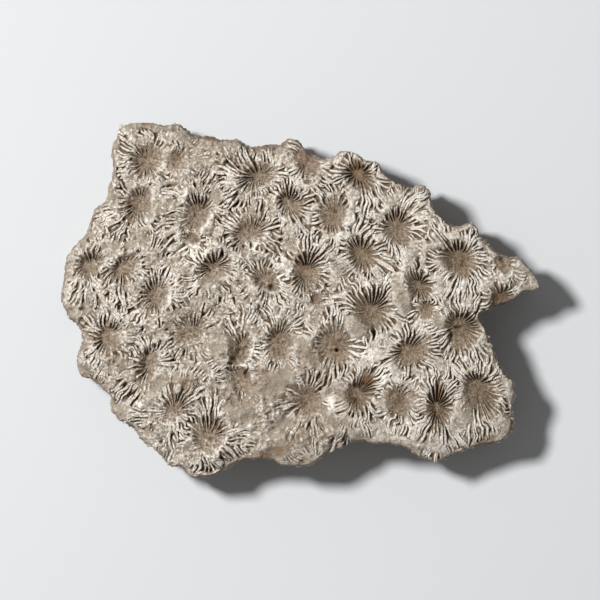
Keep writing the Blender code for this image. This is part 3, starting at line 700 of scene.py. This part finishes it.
# The open lower edge is laid on the table and closed with one flat face that looks down
shell = bmesh.new()
shell.from_mesh(coral.data)
cut_edges = [edge for edge in shell.edges if edge.is_boundary]
for edge in cut_edges:
    for vertex in edge.verts:
        vertex.co.z = 0.0
cut_faces = bmesh.ops.edgeloop_fill(shell, edges=cut_edges)["faces"]
shell.normal_update()
if cut_faces[0].normal.z > 0.0:
    cut_faces[0].normal_flip()
bmesh.ops.triangulate(shell, faces=cut_faces)
shell.to_mesh(coral.data)
shell.free()

# Coral head, the septa's blades. Each plate is a blade of limestone with a five-sided section,
# rooted in the body below the slots beside it, with a toothed top at the crown's own height.
ROOT = 0.3
SHOULDER = 0.4
TOOTH = 0.11
NOTCH = 0.38
# How much lower a top may be: at random, at the rim, and where no slot is open beside it
UNEVEN = 0.12
RIM_SINK = 0.3
BURIED_SINK = 0.08
# Each corner's share of the width to one side, and its place between root and top
SECTION = ((-0.5, 0.0), (-0.42, 0.80), (0.0, 1.0), (0.42, 0.80), (0.5, 0.0))
tooth = grain(0.22, 73)
notch = ramp(-grain(0.3, 75), 0.3, 1.3) * (wall + thick_crust)


def blades(px, py, width):
    """Section points of each blade along its course, in mm, and the marks at each of them.

    The section stands across the course: side times width to the left and right, and up from
    the root to the top of the crown.
    """
    along_x, along_y = np.gradient(px, axis=1), np.gradient(py, axis=1)
    length = np.hypot(along_x, along_y)
    gap_here = at(gap, px, py)
    sunk = plate_random.uniform(0.0, UNEVEN, len(px))[:, None] + NOTCH * at(notch, px, py)
    sunk = sunk + RIM_SINK * (1.0 - ramp(at(edge_depth, px, py), 0.4, 1.3))
    sunk = sunk + BURIED_SINK * (1.0 - ramp(gap_here, 0.0, 0.2))
    top = at(plate_top, px, py) + TOOTH * at(tooth, px, py) - sunk
    side, lift = np.array(SECTION).T
    x = px[..., None] - (along_y / length * width)[..., None] * side
    y = py[..., None] + (along_x / length * width)[..., None] * side
    shoulder = np.minimum(gap_here + ROOT, SHOULDER)[..., None]
    z = np.where(lift == 0.0, (top - gap_here - ROOT)[..., None], top[..., None] - (1.0 - lift) * shoulder)
    marks = {
        name: np.repeat(at(field, px, py).ravel(), len(SECTION))
        for name, field in (("cup", soil_and_shade), ("weathered", weathered), ("stained", stained))
    }
    # The plate mark rises from a blade's root to its top. The finish pales the top, partly wear and partly a
    # painted highlight, takes soil off it, and darkens the root as painted shade through the gap mark.
    marks["plate"] = (lift * ramp(gap_here, 0.0, 0.2)[..., None]).ravel()
    marks["gap"] = 0.5 * (1.0 - marks["plate"])
    marks["cup"] = marks["cup"] * (1.0 - 0.4 * marks["plate"])
    return np.stack((x, y, z), axis=-1), marks


def blade_faces(count, steps, sides, first):
    """Four-sided faces round each blade from ring to ring, and a cap of all sides at each end."""
    ring = first + np.arange(count * (steps + 1) * sides).reshape(count, steps + 1, sides)
    next_side = np.roll(ring, -1, axis=2)
    walls = np.stack((ring[:, :-1], next_side[:, :-1], next_side[:, 1:], ring[:, 1:]), axis=-1)
    return walls.reshape(-1, 4), np.concatenate((ring[:, 0, ::-1], ring[:, -1]))


placed = 0
blade_points, blade_walls, blade_caps, blade_marks = [], [], [], []
for px, py, width in plates:
    xyz, marks = blades(px, py, width)
    walls, caps = blade_faces(len(px), px.shape[1] - 1, len(SECTION), placed)
    placed += xyz.size // 3
    blade_points.append(xyz.reshape(-1, 3))
    blade_walls.append(walls)
    blade_caps.append(caps)
    blade_marks.append(marks)
septa_faces = (np.concatenate(blade_walls), np.concatenate(blade_caps))
septa_marks = {mark: np.concatenate([marks[mark] for marks in blade_marks]) for mark in blade_marks[0]}
septa = stone_object("coral_septa", np.concatenate(blade_points), septa_faces, septa_marks)
septa.data.shade_smooth()

# Coral head, the finish. Weathered limestone, cream where the plates catch wear and where a painted
# highlight lightens their tops, taupe on the slopes and umber where dirt has settled in the slots,
# deepened by painted shade as the slots get deeper. Painted shade also darkens the hollows and some
# sides of the cups, and one small painted highlight stands for a crystal's glint. It is dull all over.
CREAM = (0.95, 0.89, 0.80)
BEIGE = (0.39, 0.33, 0.26)
TAUPE = (0.38, 0.31, 0.235)
RUSSET = (0.17, 0.112, 0.067)
UMBER = (0.155, 0.100, 0.056)
RUST = (0.23, 0.125, 0.065)
DULLNESS = 0.92
SHEEN = 0.25
SPECKLES_PER_METRE = 2200.0
PATCHES_PER_METRE = 170.0
PORES_PER_METRE = 2600.0
PORE_DEPTH = 0.0006
# Where the head is cut every corallite shows: a star of plates round the middle of its own cell
SECTIONS_PER_METRE = 115.0
PLATES_IN_SECTION = 22.0
BENDS_PER_METRE = 300.0
BEND = 6.0


class Value:
    """A number that varies over the surface: wraps a node's output socket."""

    tree = None

    def __init__(self, socket):
        self.socket = socket

    @classmethod
    def node(cls, kind, settings=None, **inputs):
        """Adds a node of a type, sets its settings first, then its sockets by name or _number."""
        node = cls.tree.nodes.new(kind)
        for key, value in (settings or {}).items():
            setattr(node, key, value)
        for key, value in inputs.items():
            numbered = key[0] == "_" and key[1:].isdigit()
            socket = node.inputs[int(key[1:]) if numbered else key.replace("_", " ")]
            if isinstance(value, Value):
                cls.tree.links.new(value.socket, socket)
            elif isinstance(value, bpy.types.NodeSocket):
                cls.tree.links.new(value, socket)
            else:
                socket.default_value = value
        return node

    def maths(self, operation, other, swap=False):
        """A Math node of this value and another, the other one first if they are swapped."""
        a, b = (other, self) if swap else (self, other)
        return Value(Value.node("ShaderNodeMath", {"operation": operation}, _0=a, _1=b).outputs[0])

    def __add__(self, other):
        return self.maths("ADD", other)

    def __mul__(self, other):
        return self.maths("MULTIPLY", other)

    def __sub__(self, other):
        return self.maths("SUBTRACT", other)

    def __rsub__(self, other):
        return self.maths("SUBTRACT", other, swap=True)

    __radd__ = __add__
    __rmul__ = __mul__

    def held(self):
        """The value kept between 0 and 1."""
        return Value(Value.node("ShaderNodeClamp", Value=self).outputs[0])


def marked(name):
    """One of the marks on the meshes, 0 on a mesh that doesn't carry it."""
    return Value(Value.node("ShaderNodeAttribute", {"attribute_name": name}).outputs["Fac"])


def mottle(scale, detail=4.0, rough=0.6):
    """Noise in the stone, about 0.5: so many lumps to the metre, with finer ones in them."""
    stone_place = Value.node("ShaderNodeTexCoord").outputs["Object"]
    noise = Value.node("ShaderNodeTexNoise", Vector=stone_place, Scale=scale, Detail=detail, Roughness=rough)
    return Value(noise.outputs["Fac"])


def mixed(factor, first, second):
    """A colour between two, each of them a socket or three numbers."""
    node = Value.node("ShaderNodeMix", {"data_type": "RGBA"}, Factor=factor)
    for name, colour in (("A", first), ("B", second)):
        socket = [i for i in node.inputs if i.name == name and i.type == "RGBA"][0]
        if isinstance(colour, bpy.types.NodeSocket):
            Value.tree.links.new(colour, socket)
        else:
            socket.default_value = (*colour, 1.0)
    return [o for o in node.outputs if o.type == "RGBA"][0]


def stepped(value, low, high):
    """Smooth step of a value from 0 at low to 1 at high."""
    curve = {"interpolation_type": "SMOOTHSTEP"}
    node = Value.node("ShaderNodeMapRange", curve, Value=value, _1=low, _2=high)
    return Value(node.outputs["Result"])


stone = bpy.data.materials.new("weathered_limestone")
stone.use_nodes = True
Value.tree = stone.node_tree
shader = stone.node_tree.nodes["Principled BSDF"]

cut_place = Value.node("ShaderNodeTexCoord").outputs["Object"]
section_cells = Value.node(
    "ShaderNodeTexVoronoi", {"voronoi_dimensions": "2D"}, Vector=cut_place, Scale=SECTIONS_PER_METRE)
from_middle = Value.node(
    "ShaderNodeVectorMath", {"operation": "SUBTRACT"}, _0=cut_place, _1=section_cells.outputs["Position"])
sides = Value.node("ShaderNodeSeparateXYZ", Vector=from_middle.outputs["Vector"])
turned_by = Value(sides.outputs["Y"]).maths("ARCTAN2", Value(sides.outputs["X"]))
star = (turned_by * PLATES_IN_SECTION + mottle(BENDS_PER_METRE) * BEND).maths("SINE", 0.0) * 0.5 + 0.5
star = star * stepped(Value(section_cells.outputs["Distance"]), 0.04, 0.16)

speckle = mottle(SPECKLES_PER_METRE) - 0.5
patches = mottle(PATCHES_PER_METRE, 3.0) - 0.5
cup_soil_and_shade, plate_top_wear_and_highlight, hollow_shade_here = marked("cup"), marked("plate"), marked("hollow_shade")
weathered_here, stained_here = marked("weathered"), marked("stained")
# The slots' umber is dirt, deepened with their depth as painted shade; the plates' tops are paler, partly
# wear and partly a painted highlight; the hollows are darkened as painted shade; and the cups' soil holds
# painted shade on some of their sides.
silt_and_slot_shade = stepped(marked("gap"), 0.0, 0.35)
slot_dirt_and_shade = stepped(marked("gap"), 0.15, 1.0)
clean_with_light_and_shade = 0.10 + plate_top_wear_and_highlight * 0.68 - cup_soil_and_shade * 0.2 + speckle * (weathered_here * 2.2 + 1.4) + patches * 0.9
clean_with_light_and_shade = clean_with_light_and_shade - hollow_shade_here * (1.2 - weathered_here * 0.5) - weathered_here * 0.25 - stained_here * 0.3
clean_with_light_and_shade = clean_with_light_and_shade + marked("cut") * (star - 0.5) * 0.7
dirt_with_shade = cup_soil_and_shade * 1.15 + stained_here * 0.35 + silt_and_slot_shade * 0.5 + hollow_shade_here * 0.6
dirt_with_shade = dirt_with_shade - speckle * 1.4 + patches * 0.6
earth = mixed((speckle * 3.6 + patches * 1.2 + 0.5).held(), RUSSET, TAUPE)
colour = mixed(clean_with_light_and_shade.held(), BEIGE, CREAM)
colour = mixed(dirt_with_shade.held(), colour, earth)
colour = mixed((stained_here * 0.55).held(), colour, RUST)
colour = mixed((slot_dirt_and_shade + (hollow_shade_here - 0.4) * 0.4).held(), colour, UMBER)
stone.node_tree.links.new(colour, shader.inputs["Base Color"])
shader.inputs["Roughness"].default_value = DULLNESS
shader.inputs["Specular IOR Level"].default_value = SHEEN
pores = mottle(PORES_PER_METRE, 5.0, 0.7)
pitted = Value.node("ShaderNodeBump", Height=pores, Strength=1.0, Distance=PORE_DEPTH)
stone.node_tree.links.new(pitted.outputs["Normal"], shader.inputs["Normal"])
for piece in (coral, septa):
    piece.data.materials.append(stone)
    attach(piece, "root")
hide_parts("coral_head")

# ---------------------------------------------------------------------------------------
# Table and light. A plain pale table top, one soft lamp over the far edge a little to the
# left, and a weak even fill from all round.
TABLE_WIDTH = 3.0
TABLE_DROP = 0.0002
PAPER = (0.50, 0.51, 0.52)
PAPER_DULLNESS = 0.9
LAMP_AZIMUTH = 152.0
LAMP_ELEVATION = 61.0
LAMP_DISTANCE = 0.8
LAMP_SIZE = 0.12
LAMP_ENERGY = 9.35
FILL = 0.24
bpy.ops.mesh.primitive_plane_add(size=TABLE_WIDTH, location=(0.0, 0.0, -TABLE_DROP))
table = bpy.context.object
table.name = "table_top"
paper = bpy.data.materials.new("pale_table")
paper.use_nodes = True
paper_shader = paper.node_tree.nodes["Principled BSDF"]
paper_shader.inputs["Base Color"].default_value = (*PAPER, 1.0)
paper_shader.inputs["Roughness"].default_value = PAPER_DULLNESS
table.data.materials.append(paper)

lamp_light = bpy.data.lights.new("soft_lamp", "AREA")
lamp_light.shape = "DISK"
lamp_light.size = LAMP_SIZE
lamp_light.energy = LAMP_ENERGY
lamp = bpy.data.objects.new("soft_lamp", lamp_light)
azimuth, elevation = math.radians(LAMP_AZIMUTH), math.radians(LAMP_ELEVATION)
lamp.location = (
    LAMP_DISTANCE * math.cos(azimuth) * math.cos(elevation),
    LAMP_DISTANCE * math.sin(azimuth) * math.cos(elevation),
    LAMP_DISTANCE * math.sin(elevation),
)
lamp.rotation_euler = (-lamp.location).to_track_quat("-Z", "Y").to_euler()
bpy.context.scene.collection.objects.link(lamp)

world = bpy.data.worlds.new("soft_room")
bpy.context.scene.world = world
world.use_nodes = True
room_light = world.node_tree.nodes["Background"]
room_light.inputs["Color"].default_value = (1.0, 1.0, 1.0, 1.0)
room_light.inputs["Strength"].default_value = FILL
bpy.context.scene.view_settings.view_transform = "Standard"
